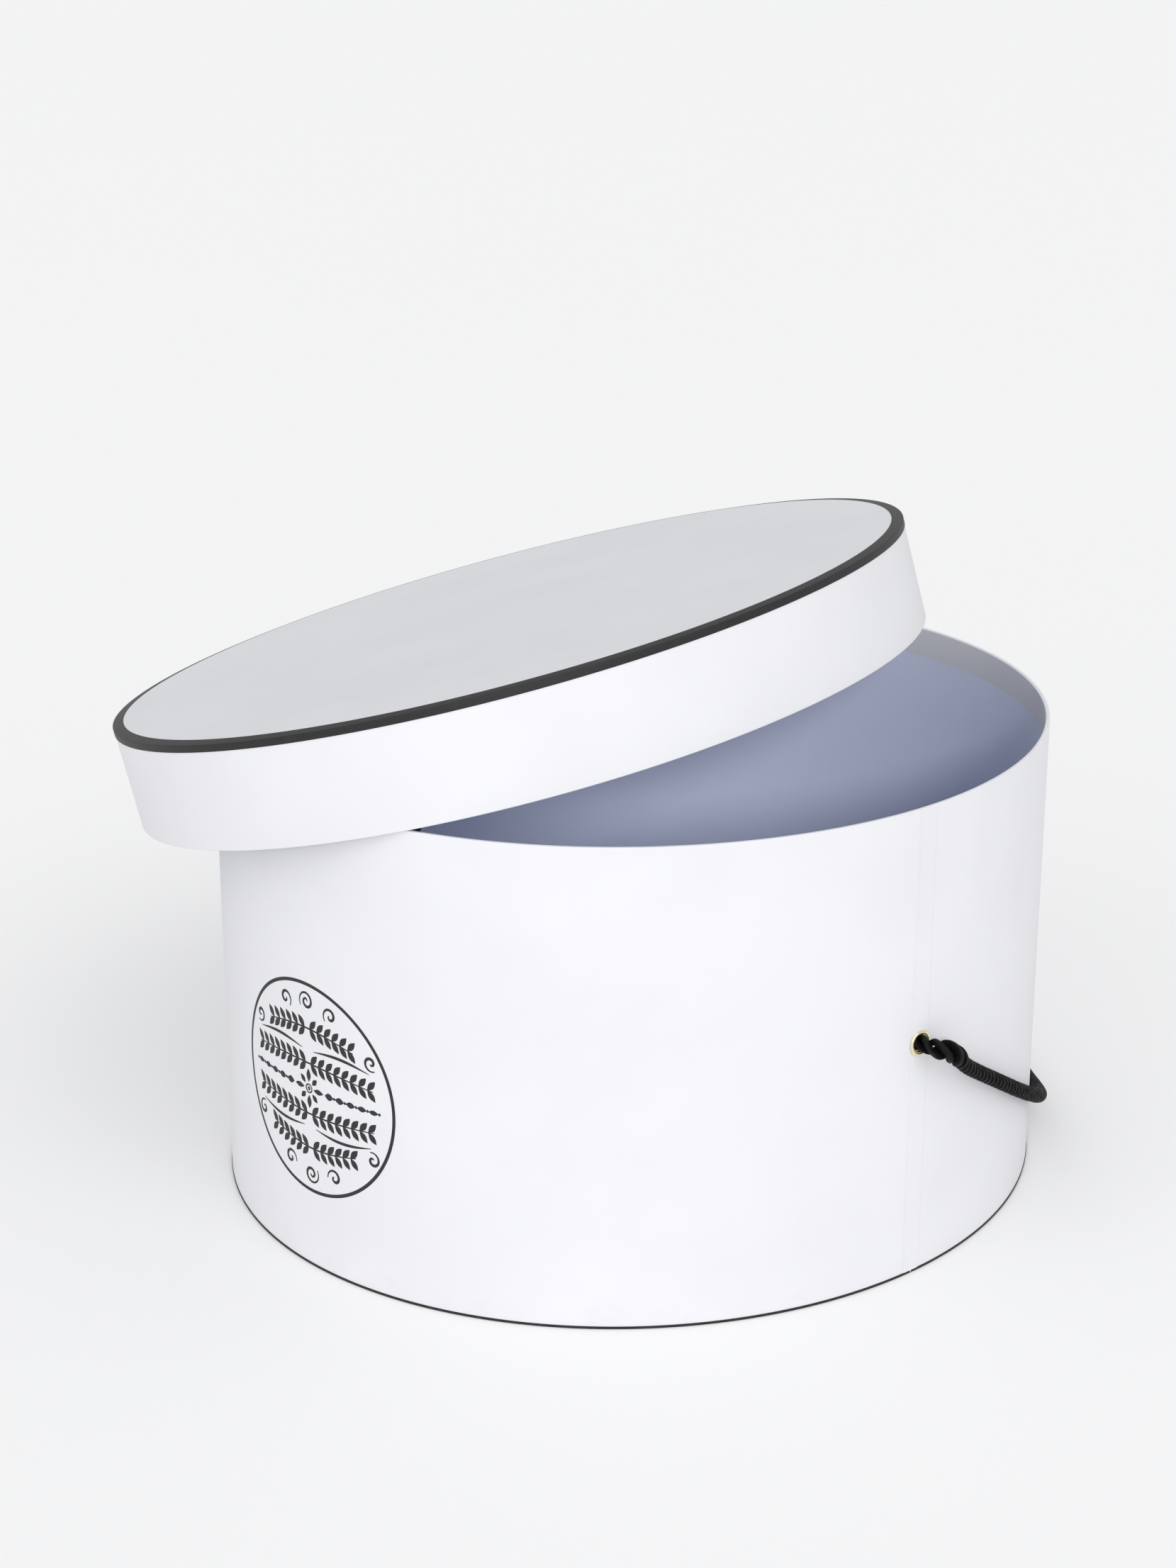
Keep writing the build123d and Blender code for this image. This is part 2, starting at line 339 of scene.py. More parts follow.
class Finish:
    """One material, with its shader and what varies over the surface."""

    def __init__(self, name, colour, roughness, constants=None):
        self.material = bpy.data.materials.new(name)
        self.material.use_nodes = True
        self.material.diffuse_color = (*colour, 1)
        self.tree = self.material.node_tree
        self.shader = next(node for node in self.tree.nodes if node.type == "BSDF_PRINCIPLED")
        self.shader.inputs["Base Color"].default_value = (*colour, 1)
        self.shader.inputs["Roughness"].default_value = roughness
        for key, value in (constants or {}).items():
            self.shader.inputs[key].default_value = value

    def node(self, kind, settings, *values, output=0, **named):
        """Adds a node: its settings first, then the values or links of its sockets. Returns one output."""
        node = self.tree.nodes.new(kind)
        for key, value in settings.items():
            setattr(node, key, value)
        for key, value in [*enumerate(values), *named.items()]:
            self.feed(node.inputs[key], value)
        return node.outputs[output]

    def feed(self, socket, value):
        """Links a value to a socket, or sets it there if it is a plain one."""
        if isinstance(value, Amount):
            value = value.socket
        if isinstance(value, bpy.types.NodeSocket):
            self.tree.links.new(value, socket)
        else:
            socket.default_value = value

    def place(self):
        return self.node("ShaderNodeTexCoord", {}, output="Object")

    def axes(self):
        """The place on the object along X, Y and Z."""
        node = self.node("ShaderNodeSeparateXYZ", {}, self.place()).node
        return [Amount(self, socket) for socket in node.outputs]

    def noise(self, size, detail):
        """Noise with features of about this size in metres."""
        return Amount(self, self.node("ShaderNodeTexNoise", {}, Vector=self.place(), Scale=1 / size,
                                      Detail=detail, Roughness=NOISE_ROUGHNESS))

    def blend(self, share, first, second):
        """From the first colour to the second by this share."""
        node = self.tree.nodes.new("ShaderNodeMix")
        node.data_type = "RGBA"
        self.feed(node.inputs["Factor"], share)
        for socket, value in ((node.inputs[6], first), (node.inputs[7], second)):
            self.feed(socket, value if isinstance(value, bpy.types.NodeSocket) else (*value, 1))
        return node.outputs[2]

    def paint(self, colour):
        self.feed(self.shader.inputs["Base Color"], colour)

    def polish(self, roughness):
        self.feed(self.shader.inputs["Roughness"], roughness)

    def relief(self, height, depth):
        """Bump of this depth in metres."""
        bump = self.node("ShaderNodeBump", {}, Strength=1.0, Distance=depth, Height=height)
        self.feed(self.shader.inputs["Normal"], bump)


def paint(piece, finish, slot, body, node):
    """Gives a finished piece its material and its body, and hides the solid that it stands for. The slot is
    not used.
    """
    piece.data.materials.clear()
    piece.data.materials.append(finish.material)
    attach(piece, body)
    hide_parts(node)


def scaled(colour, share, more=0.0):
    """The colour with each part multiplied, and then this much added."""
    return tuple(share * part + more for part in colour)


def paper_finish(name, colour, roughness):
    """Smooth paper: faint clouds in its colour, fine fibres in its surface."""
    finish = Finish(name, colour, roughness, {"Specular IOR Level": 0.35})
    clouds = finish.noise(60 * MM, 2.0)
    fibres = finish.noise(0.9 * MM, 4.0)
    mottle = clouds.smooth(0.3, 0.75) * 0.7 + fibres * 0.3
    finish.paint(finish.blend(mottle, colour, scaled(colour, 0.955)))
    finish.polish(roughness - 0.06 + 0.12 * fibres)
    finish.relief(fibres + clouds * 2, FIBRE_DEPTH)
    return finish


def drum_finish(name, colour):
    """White cover paper: handling marks towards the foot and the rim, and the shadow line of the lap."""
    finish = Finish(name, colour, 0.5, {"Specular IOR Level": 0.35})
    across, along, height = finish.axes()
    clouds = finish.noise(70 * MM, 2.0)
    fibres = finish.noise(0.9 * MM, 4.0)
    foot = 1 - height.smooth(1.5 * MM, 16 * MM)
    rim = height.smooth(RIM_Z - 5 * MM, RIM_Z + 1 * MM)
    smudge = finish.noise(14 * MM, 3.0).smooth(0.52, 0.75)
    worn = (foot * 0.5 + rim * 0.3) * smudge
    from_edge = (along.absolute() - LAP_EDGE).absolute()
    lap_edge = (1 - from_edge.smooth(0.1 * MM, 0.5 * MM)) * across.smooth(0, 1 * MM)
    mottle = clouds.smooth(0.3, 0.75) * 0.7 + fibres * 0.3
    base = finish.blend(mottle, colour, scaled(colour, 0.95))
    finish.paint(finish.blend(worn * 0.3 + lap_edge * 0.16, base, scaled(colour, 0.72)))
    finish.polish(0.44 + 0.12 * fibres)
    finish.relief(fibres + clouds * 2, FIBRE_DEPTH)
    return finish


def tape_finish(name, colour):
    """Black paper tape: a fine cloth grain with a slight sheen, paler where it is rubbed."""
    finish = Finish(name, colour, 0.5, {"Specular IOR Level": 0.3})
    grain = finish.noise(0.35 * MM, 3.0)
    creases = finish.noise(5 * MM, 2.0)
    wear = grain.smooth(0.45, 0.8) * 0.45 + creases.smooth(0.5, 0.8) * 0.25
    finish.paint(finish.blend(wear, colour, scaled(colour, 1.8, 0.008)))
    finish.polish(0.42 + 0.22 * grain)
    finish.relief(grain * 0.5 + creases, 0.06 * MM)
    return finish


def board_finish(name, colour):
    """Grey pulp board."""
    finish = Finish(name, colour, 0.9)
    flecks = finish.noise(1.5 * MM, 5.0)
    finish.paint(finish.blend(flecks.smooth(0.35, 0.7), colour, scaled(colour, 0.7)))
    finish.relief(flecks, 0.08 * MM)
    return finish


def cord_finish(name, colour):
    """Lustrous black yarn: fine threads lie slantwise along each strand. The grooves carry painted shade, and
    the strands' backs a painted highlight streaked by the threads.
    """
    finish = Finish(name, colour, 0.42, {"Specular IOR Level": 0.13})
    node = finish.node("ShaderNodeSeparateXYZ", {}, finish.node("ShaderNodeTexCoord", {}, output="UV")).node
    around, along = Amount(finish, node.outputs[0]), Amount(finish, node.outputs[1])
    threads = (around * 9 + along * 1400).fraction()
    ridge = 1 - (threads - 0.5).absolute() * 2
    crest = Amount(finish, finish.node("ShaderNodeAttribute", {"attribute_name": "crest"}, output="Fac"))
    fuzz = finish.noise(0.4 * MM, 3.0)
    # Painted highlight on the strands' backs, streaked by threads and fuzz; painted shade in the grooves,
    # where the colour drops to 0.4 of the cord's
    high = crest.smooth(0.5, 1.0) * (0.4 + 0.3 * ridge + 0.5 * fuzz)
    finish.paint(finish.blend(high, scaled(colour, 0.4), scaled(colour, 6, 0.006)))
    finish.polish(0.75 - 0.4 * crest + 0.15 * fuzz)
    finish.relief(ridge + fuzz * 0.6 + crest * 2, 0.15 * MM)
    return finish


def brass_finish(name, colour):
    """Pale polished brass with faint scuffs and a little tarnish."""
    finish = Finish(name, colour, 0.2, {"Metallic": 1.0})
    scuffs = finish.noise(0.6 * MM, 4.0)
    tarnish = finish.noise(4 * MM, 2.0)
    finish.paint(finish.blend(tarnish.smooth(0.45, 0.75) * 0.5, colour, scaled(colour, 0.72)))
    finish.polish(0.14 + 0.18 * scuffs)
    finish.relief(scuffs, 0.01 * MM)
    return finish


def ink_finish(name, colour):
    """Black printing ink, a little thin in places."""
    finish = Finish(name, colour, 0.55, {"Specular IOR Level": 0.3})
    thin = finish.noise(0.8 * MM, 3.0)
    finish.paint(finish.blend(thin.smooth(0.5, 0.85) * 0.5, colour, scaled(colour, 2.2, 0.015)))
    return finish


def floor_finish(name, colour):
    """A plain pale studio floor."""
    finish = Finish(name, colour, 0.85, {"Specular IOR Level": 0.1})
    soft = finish.noise(900 * MM, 1.0)
    finish.paint(finish.blend(soft * 0.15, colour, scaled(colour, 0.98)))
    return finish


# Sizes and colours that a user would change

def colour_setting(name, description, default):
    return FloatVectorProperty(
        name=name, description=description, subtype="COLOR", default=default, min=0, max=1)


def length_setting(name, description, default, low, high):
    """A length, given in millimetres."""
    return FloatProperty(
        name=name, description=description, subtype="DISTANCE",
        default=default * MM, min=low * MM, max=high * MM)


class HatBoxSettings(bpy.types.PropertyGroup):
    paper_colour: colour_setting("Paper", "Cover paper of the drum and the lid's skirt", (0.755, 0.755, 0.785))
    # The lid top's grey is painted shade: the top is white paper like the skirt's, made darker for the lesser
    # light on it
    shaded_top_colour: colour_setting("Lid top", "Paper on the lid's top", (0.715, 0.72, 0.745))
    # Painted light: the lining is lighter than the white cover paper, to lift the shade inside the drum and
    # the lid; its blue tint is its own
    lining_colour_and_painted_light: colour_setting("Lining", "Paper inside the drum and the lid", (0.76, 0.81, 0.97))
    tape_colour: colour_setting("Tape", "Tape on the foot and on the lid's edge", (0.017, 0.017, 0.018))
    cord_colour: colour_setting("Cord", "Twisted cord of the handle", (0.0035, 0.0035, 0.004))
    brass_colour: colour_setting("Eyelets", "Eyelets and washers", (0.88, 0.79, 0.54))
    ink_colour: colour_setting("Ink", "Printed ornament on the front", (0.022, 0.022, 0.024))
    strand_diameter: length_setting("Strand", "Thickness of one strand of the cord", 2.8, 1, 3.6)
    strand_lay: length_setting("Lay", "Length of one full twist of the cord", 12.5, 6, 30)
    ornament_radius: length_setting("Ornament", "Radius of the round ornament", 49.8, 20, 80)
    ornament_turn: length_setting(
        "Ornament place", "Distance round the wall from the middle of the front", 10.3, -80, 80)
    ornament_height: length_setting("Ornament height", "Height of the ornament's middle", 86.1, 60, 150)


def settings():
    return bpy.context.scene.hat_box


# Drum

def eyelet_cutter(side):
    """A bar that opens the wall for one eyelet."""
    deselect()
    bpy.ops.mesh.primitive_cylinder_add(
        vertices=64, radius=BARREL_RADIUS + EYELET_CLEARANCE, depth=20 * MM,
        location=(side * HALF_WIDTH, 0, EYELET_Z), rotation=(0, pi / 2, 0))
    return bpy.context.object


def pierce(piece):
    for side in (1, -1):
        cut(piece, eyelet_cutter(side))


def wall_rows(bottom, top):
    """Heights of a wall's rows, with narrow ones either side of the eyelets."""
    near = 4.9 * MM
    return [bottom, bottom + 6 * MM, EYELET_Z - near, EYELET_Z + near, top]


class HATBOX_OT_wall(bpy.types.Operator):
    """Board, outer cover and lining of the drum's wall"""
    bl_idname = "hatbox.wall"
    bl_label = "Wall"

    def execute(self, context):
        paper = drum_finish("cover_paper", settings().paper_colour)
        # The lining's colour carries painted light: it is made lighter than the cover paper
        lining = paper_finish("blue_lining_and_painted_light", settings().lining_colour_and_painted_light, 0.7)
        board = board_finish("pulp_board", BOARD_COLOUR)
        round_off = 0.6 * MM
        outside = [(0, z) for z in wall_rows(UNDER_PAPER, RIM_Z - round_off)]
        rim = arc((-round_off, RIM_Z - round_off), round_off, 0, 90) + arc(
            (LINING_IN + round_off, RIM_Z - round_off), round_off, 90, 180)
        turned_in = [(LINING_IN, TURN_IN_Z), (BOARD_IN, TURN_IN_Z), (BOARD_IN, RIM_Z - PAPER)]
        under_rim = [(-PAPER, RIM_Z - PAPER)]
        back = [(-PAPER, z) for z in reversed(wall_rows(UNDER_PAPER, RIM_Z - 2 * PAPER))]
        cover = outside[:-1] + rim + turned_in + under_rim + back
        core = self.layer(-PAPER, BOARD_IN, wall_rows(UNDER_PAPER, RIM_Z - PAPER))
        liner = self.layer(BOARD_IN, LINING_IN, wall_rows(LINING_BOX[0].z, TURN_IN_Z))
        for name, section, finish, slot, node in (
                ("drum_cover", cover, paper, "white_paper", "wall_cover"),
                ("drum_board", core, board, "grey_board", "wall_board"),
                ("drum_lining", liner, lining, "lining_paper", "wall_lining")):
            piece = oval(name, section)
            finish_shape(piece)
            if section is cover:
                self.raise_lap(piece)
            pierce(piece)
            finish_shape(piece)
            paint(piece, finish, slot, "box", node)
        return {"FINISHED"}

    def layer(self, outer, inner, rows):
        """The section of one plain layer of the wall."""
        return [(outer, z) for z in rows] + [(inner, z) for z in reversed(rows)]

    def raise_lap(self, cover):
        """The strip where the cover's ends overlap stands nearly one paper proud."""
        only(cover)
        select_faces(cover, lambda centre, normal: (
            centre.x > 0 and abs(centre.y) < LAP_SELECT and normal.x > 0.99
            and TAPE_BOX[1].z < centre.z < RIM_Z - 1 * MM))
        bpy.ops.mesh.extrude_region_move(TRANSFORM_OT_translate={"value": (0.9 * PAPER, 0, 0)})
        bpy.ops.object.mode_set(mode="OBJECT")


class HATBOX_OT_foot(bpy.types.Operator):
    """Tape round the foot, and the papers of the base"""
    bl_idname = "hatbox.foot"
    bl_label = "Foot"

    def execute(self, context):
        tape = tape_finish("black_tape_foot", settings().tape_colour)
        high = TAPE_BOX[1].z
        thick = UNDER_PAPER
        edge = 0.1 * MM
        fold = 0.2 * MM
        section = [(0, high), (thick - edge, high), (thick, high - edge)]
        section += arc((thick - fold, fold), fold, 0, -90)
        section += [(-FOOT_TAPE_UNDER, 0), (-FOOT_TAPE_UNDER, thick), (0, thick)]
        piece = oval("foot_tape", section)
        finish_shape(piece)
        cut(piece, self.seam())
        finish_shape(piece)
        paint(piece, tape, "black_tape", "box", "base_edge_tape")

        lining = bpy.data.materials["blue_lining_and_painted_light"]
        board = bpy.data.materials["pulp_board"]
        for node, material in (("base_lining", lining), ("base_board", board)):
            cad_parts[node].data.materials.clear()
            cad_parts[node].data.materials.append(material)
        under_paper = paper_finish("base_paper", (0.80, 0.80, 0.82), 0.65)
        gap = 0.02 * MM
        sheet = disc("base_paper", -FOOT_TAPE_UNDER - gap, 0, thick)
        finish_shape(sheet)
        paint(sheet, under_paper, "white_paper", "box", "base_cover")
        return {"FINISHED"}

    def seam(self):
        """A sliver that parts the tape's ends."""
        deselect()
        sliver = (30 * MM, 0.5 * MM, 10 * MM)
        bpy.ops.mesh.primitive_cube_add(size=1, location=(HALF_WIDTH, 0, 0), scale=sliver)
        return bpy.context.object


# Eyelets and knots

class HATBOX_OT_eyelets(bpy.types.Operator):
    """Rolled brass eyelets and the washers behind them"""
    bl_idname = "hatbox.eyelets"
    bl_label = "Eyelets"

    def execute(self, context):
        brass = brass_finish("polished_brass", settings().brass_colour)
        self.eyelet("right", EYELET_BOX[1].x, 1, brass)
        self.eyelet("left", -LEFT_EYELET_BOX[0].x, -1, brass)
        low, high = WASHER_BOX[0].x, WASHER_BOX[1].x
        outer = (WASHER_BOX[1].z - WASHER_BOX[0].z) / 2
        soft = 0.2 * MM
        bore = BARREL_RADIUS + EYELET_CLEARANCE
        section = [(bore, high), (outer - soft, high), (outer, high - soft), (outer, low + soft),
                   (outer - soft, low), (bore, low)]
        washer = turned("washer_right", section)
        paint(copy_turned_round(washer, "washer_left"), brass, "pale_brass", "box", "eyelet_washer_left")
        paint(washer, brass, "pale_brass", "box", "eyelet_washer_right")
        return {"FINISHED"}

    def eyelet(self, side, face, sign, brass):
        """A ring rolled round outwards, a barrel, and a lip rolled over the washer."""
        seat = face - FLANGE
        mouth = BORE_RADIUS - 0.2 * MM
        roll = (EYELET_RADIUS - mouth) / 2
        middle = (EYELET_RADIUS + mouth) / 2
        section = []
        roll_steps = 12
        for step in range(roll_steps + 1):
            angle = pi - pi * step / roll_steps
            section.append((middle + roll * cos(angle), seat + FLANGE * sin(angle)))
        lip_end = LIP_FACE + 0.5 * MM
        soft = 0.25 * MM
        section += [(BARREL_RADIUS, seat), (BARREL_RADIUS, lip_end), (LIP_RADIUS - 0.1 * MM, lip_end),
                    (LIP_RADIUS, LIP_FACE + soft), (LIP_RADIUS - soft, LIP_FACE), (BORE_RADIUS, LIP_FACE)]
        piece = turned("rolled_eyelet_" + side, section)
        if sign < 0:
            place(piece, Matrix.Rotation(pi, 4, "Z"))
        paint(piece, brass, "pale_brass", "box", "eyelet_" + side)


# Cord

def line_of(name, points):
    """The points along a smooth line that these points shape."""
    curve = bpy.data.curves.new(name, "CURVE")
    curve.dimensions = "3D"
    curve.resolution_u = 24
    spline = curve.splines.new("NURBS")
    spline.points.add(len(points) - 1)
    for point, spot in zip(spline.points, points):
        point.co = (*spot, 1)
    spline.use_endpoint_u = True
    spline.order_u = 3
    holder = bpy.data.objects.new(name, curve)
    bpy.context.collection.objects.link(holder)
    bpy.context.view_layer.update()
    mesh = bpy.data.meshes.new_from_object(holder)
    line = [vertex.co.copy() for vertex in mesh.vertices]
    bpy.data.objects.remove(holder)
    return line


def even(line, step):
    """The same line with points this far apart."""
    reach = [0.0]
    for before, after in zip(line, line[1:]):
        reach.append(reach[-1] + (after - before).length)
    count = round(reach[-1] / step)
    points = []
    for index in range(count + 1):
        goal = reach[-1] * index / count
        at = min(max(bisect_left(reach, goal), 1), len(line) - 1)
        share = (goal - reach[at - 1]) / (reach[at] - reach[at - 1])
        points.append(line[at - 1].lerp(line[at], share))
    return points


def sides(line):
    """At each point of a line, a direction across it that never twists suddenly, and the line's own."""
    across = Vector((0, 0, 1))
    found = []
    for index in range(len(line)):
        along = (line[min(index + 1, len(line) - 1)] - line[max(index - 1, 0)]).normalized()
        across = (across - along * across.dot(along)).normalized()
        found.append((across, along.cross(across)))
    return found


def strand(name, points, radius, swell):
    """A round strand along these points, as a mesh. swell gives its thickness at each, as a share."""
    deselect()
    curve = bpy.data.curves.new(name, "CURVE")
    curve.dimensions = "3D"
    spline = curve.splines.new("POLY")
    spline.points.add(len(points) - 1)
    for point, spot, share in zip(spline.points, points, swell):
        point.co = (*spot, 1)
        point.radius = share
    curve.bevel_depth = radius
    curve.bevel_resolution = 2
    curve.use_fill_caps = True
    piece = bpy.data.objects.new(name, curve)
    bpy.context.collection.objects.link(piece)
    only(piece)
    bpy.ops.object.convert(target="MESH")
    bpy.ops.object.shade_smooth()
    return bpy.context.object


def twist(name, line, strand_radius, spread, lay):
    """Strands twisted round a line. spread gives their distance from it, and lay the length of a full turn,
    by the distance along it. Where they spread, they swell. Each vertex carries its crest: 0 in the grooves
    between the strands, 1 on their backs; the cord's shader paints shade and highlight by it."""
    frames = sides(line)
    step = (line[1] - line[0]).length
    middle = spread(len(line) * step / 2)
    swell = [(spread(index * step) / middle) ** 0.8 for index in range(len(line))]
    pieces = []
    for number in range(STRANDS):
        points = []
        turned_by = 2 * pi * number / STRANDS
        for index, (centre, (across, up)) in enumerate(zip(line, frames)):
            wide, length = spread(index * step), lay(index * step)
            turned_by += 2 * pi * step / length
            points.append(centre + (across * cos(turned_by) + up * sin(turned_by)) * wide)
        piece = strand(f"{name}_{number}", points, strand_radius, swell)
        crest = piece.data.attributes.new("crest", "FLOAT", "POINT")
        # The rings of the two end caps come first: that of the last point, then that of the first
        around = len(piece.data.vertices) // (len(points) + 2)
        ring_point = [len(points) - 1, 0, *range(len(points))]
        for vertex in piece.data.vertices:
            index = ring_point[vertex.index // around]
            outward = (points[index] - line[index]).normalized()
            back = (vertex.co - points[index]).dot(outward) / (strand_radius * swell[index])
            crest.data[vertex.index].value = min(max(back, 0), 1)
        pieces.append(piece)
    return join(name, pieces)


def steady(value):
    """The same value all along a line."""
    return lambda reach: value


class HATBOX_OT_cord(bpy.types.Operator):
    """Twisted cord handle with a knot behind each eyelet"""
    bl_idname = "hatbox.cord"
    bl_label = "Cord"

    def execute(self, context):
        finish = cord_finish("cord_yarn", settings().cord_colour)
        radius = settings().strand_diameter / 2
        lay = settings().strand_lay
        points = [(LIP_FACE, 0, EYELET_Z), *CORD_ROUTE, (-LIP_FACE, 0, EYELET_Z)]
        line = even(line_of("cord_line", points), 0.8 * MM)
        total = (line[1] - line[0]).length * (len(line) - 1)
        tight = 2.15 * MM
        loose = 3.0 * MM
        opens, open_length = 7 * MM, 22 * MM
        long_lay, long_lay_end = 1.45, 27 * MM

        def spread(reach):
            """The twist has opened in the first stretch outside each eyelet."""
            near = min(reach, total - reach)
            opened = max(0.0, sin(pi * min(max((near - opens) / open_length, 0), 1)))
            return tight + (loose - tight) * opened

        def loosened(reach):
            near = min(reach, total - reach)
            return lay * (long_lay if near < long_lay_end else 1.0)

        rope = twist("cord", line, radius, spread, loosened)
        knots = [self.knot(side, sign, finish) for side, sign in (("right", 1), ("left", -1))]
        paint(rope, finish, "black_cord", "box", "handle_cord")
        return {"FINISHED"}

    def knot(self, side, sign, finish):
        """An overhand knot drawn tight against the eyelet's lip, with a short tail."""
        thick = 2.8 * MM
        half_width = (KNOT_BOX[1].y - KNOT_BOX[0].y) / 2
        middle = Vector(((KNOT_BOX[0].x + KNOT_BOX[1].x) / 2, 0, EYELET_Z))
        size = (half_width - thick) / 3
        loop = []
        steps = 120
        for step in range(steps + 1):
            angle = 2 * pi * step / steps
            ring = 2 + cos(3 * angle)
            depth = 1.9 * size * sin(3 * angle)
            loop.append(middle + Vector((depth, size * ring * cos(2 * angle), size * ring * sin(2 * angle))))
        ball = twist("knot", even(loop, 0.6 * MM), 1.45 * MM, steady(1.4 * MM), steady(9 * MM))
        low = KNOT_BOX[0].z + 0.4 * MM
        tail_line = [middle + Vector((0, 1 * MM, -4 * MM)), middle + Vector((-1 * MM, 1.5 * MM, -10 * MM)),
                     Vector((middle.x, 0.5 * MM, low))]
        tail = twist("tail", even(line_of("tail_line", tail_line), 0.6 * MM), 1.6 * MM,
                     steady(1.7 * MM), steady(11 * MM))
        piece = join("knot_" + side, [ball, tail])
        if sign < 0:
            place(piece, Matrix.Rotation(pi, 4, "Z"))
        paint(piece, finish, "black_cord", "box", "cord_knot_" + side)
        return piece


# Lid

def lid_place():
    """Where the lid leans: its own height is Z, and its long axis Y, with 0 at its underside. It is read from
    the upper face of its top paper."""
    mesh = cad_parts["lid_top_paper"].data
    upward = Vector()
    for face in mesh.polygons:
        if face.normal.z > 0.5:
            upward += face.normal * face.area
    normal = upward.normalized()
    spots = []
    for face in mesh.polygons:
        if face.normal.dot(normal) > 0.999:
            spots += [mesh.vertices[index].co for index in face.vertices]
    facing = normal.orthogonal().normalized()
    aside = normal.cross(facing)
    centre = normal * (sum(spot.dot(normal) for spot in spots) / len(spots))
    for axis in (facing, aside):
        reaches = [spot.dot(axis) for spot in spots]
        centre += axis * ((min(reaches) + max(reaches)) / 2)
    rim = set()
    for spot in spots:
        x, y = (spot - centre).dot(facing), (spot - centre).dot(aside)
        rim.add((round(atan2(y, x), 6), round(hypot(x, y), 6)))
    rim = sorted(rim)
    # The long axis is the way that the reach from the centre favours, weighed by angle
    twice_x = twice_y = 0.0
    for (start, reach), (end, next_reach) in zip(rim, rim[1:] + [(rim[0][0] + 2 * pi, rim[0][1])]):
        weight = (reach + next_reach) / 2 * (end - start)
        twice_x += weight * cos(start + end)
        twice_y += weight * sin(start + end)
    half = atan2(twice_y, twice_x) / 2
    long_axis = facing * cos(half) + aside * sin(half)
    wide_axis = long_axis.cross(normal)
    matrix = Matrix((wide_axis, long_axis, normal)).transposed().to_4x4()
    matrix.translation = centre - normal * (LID_BOARD_TOP + PAPER)
    return matrix


class HATBOX_OT_lid(bpy.types.Operator):
    """Top, skirt, papers and edge tape of the leaning lid"""
    bl_idname = "hatbox.lid"
    bl_label = "Lid"

    def execute(self, context):
        where = lid_place()
        white = paper_finish("skirt_paper", settings().paper_colour, 0.5)
        # Painted shade: the top paper is a greyer copy of the skirt's white paper
        grey = paper_finish("top_paper", settings().shaded_top_colour, 0.55)
        # Painted light: the lid's lining is lighter than the cover paper, to lift the shade under the lid
        lining = paper_finish("lid_lining_painted_light", settings().lining_colour_and_painted_light, 0.7)
        board = board_finish("lid_board", BOARD_COLOUR)
        tape = tape_finish("black_tape_lid", settings().tape_colour)
        corner = LID_BOARD_TOP - LID_EDGE_DROP
        tape_out = LID_OUT + TAPE
        tape_in = tape_out - TAPE_TOP

        top_edge = [(LID_BOARD_OUT, PAPER), (LID_BOARD_OUT, corner), (tape_in, LID_BOARD_TOP)]
        skirt_low, lining_low = PAPER - LID_DEPTH, LID_TURN_IN - LID_DEPTH
        skirt_edge = [(LID_BOARD_OUT, skirt_low), (LID_BOARD_OUT, PAPER),
                      (LID_LINING_OUT, PAPER), (LID_LINING_OUT, skirt_low)]
        lining_edge = [(LID_CLEARANCE, lining_low), (LID_LINING_OUT, lining_low),
                       (LID_LINING_OUT, 0), (LID_CLEARANCE, 0)]
        paper_top = LID_BOARD_TOP + PAPER
        for piece, finish, slot, node in (
                (disc("lid_paper", tape_in, LID_BOARD_TOP, paper_top), grey, "white_paper", "lid_top_paper"),
                (oval("lid_core", top_edge, closed=False), board, "grey_board", "lid_top_board"),
                (disc("lid_ceiling", LID_LINING_OUT, 0, PAPER), lining, "lining_paper", "lid_top_lining"),
                (oval("skirt_core", skirt_edge), board, "grey_board", "lid_skirt_board"),
                (self.skirt(corner), white, "white_paper", "lid_skirt_cover"),
                (oval("skirt_lining", lining_edge), lining, "lining_paper", "lid_skirt_lining"),
                (self.tape(corner, tape_out, tape_in), tape, "black_tape", "lid_edge_tape")):
            finish_shape(piece)
            place(piece, where)
            paint(piece, finish, slot, "lid", node)
        return {"FINISHED"}

    def skirt(self, corner):
        """Paper outside the skirt, rounded over its lower edge and turned in."""
        bottom = -LID_DEPTH
        round_off = 0.55 * MM
        top_in = LID_TURN_IN - LID_DEPTH
        section = [(LID_BOARD_OUT, corner), (LID_OUT, corner)]
        section += [(LID_OUT, z * corner + (1 - z) * bottom) for z in (0.75, 0.5, 0.25)]
        section += arc((LID_OUT - round_off, bottom + round_off), round_off, 0, -90)
        section += arc((LID_CLEARANCE + round_off, bottom + round_off), round_off, -90, -180)
        section += [(LID_CLEARANCE, top_in), (LID_LINING_OUT, top_in), (LID_LINING_OUT, bottom + PAPER),
                    (LID_BOARD_OUT, bottom + PAPER)]
        return oval("skirt_cover", section)

    def tape(self, corner, tape_out, tape_in):
        """Tape folded over the top corner, its edges just off square."""
        low = corner + TAPE - TAPE_SIDE
        top = LID_BOARD_TOP + TAPE
        round_off = 0.5 * MM
        soft = 0.08 * MM
        section = [(LID_OUT, low), (tape_out - soft, low), (tape_out, low + soft)]
        section += arc((tape_out - round_off, corner + TAPE - round_off), round_off, 0, 80)
        section += [(tape_in + soft, top), (tape_in, top - soft), (tape_in, LID_BOARD_TOP),
                    (LID_BOARD_OUT, corner), (LID_OUT, corner)]
        return oval("lid_tape", section)


# Ornament

def wall_spot(reach, height, lift):
    """The point of the drum's face this far round from the middle of the front, lifted off it."""
    angle = ARC_TABLE.at(reach)
    x, y = HALF_WIDTH * sin(angle), -HALF_LENGTH * cos(angle)
    normal = Vector((x / HALF_WIDTH ** 2, y / HALF_LENGTH ** 2, 0)).normalized()
    return Vector((x, y, height)) + normal * lift


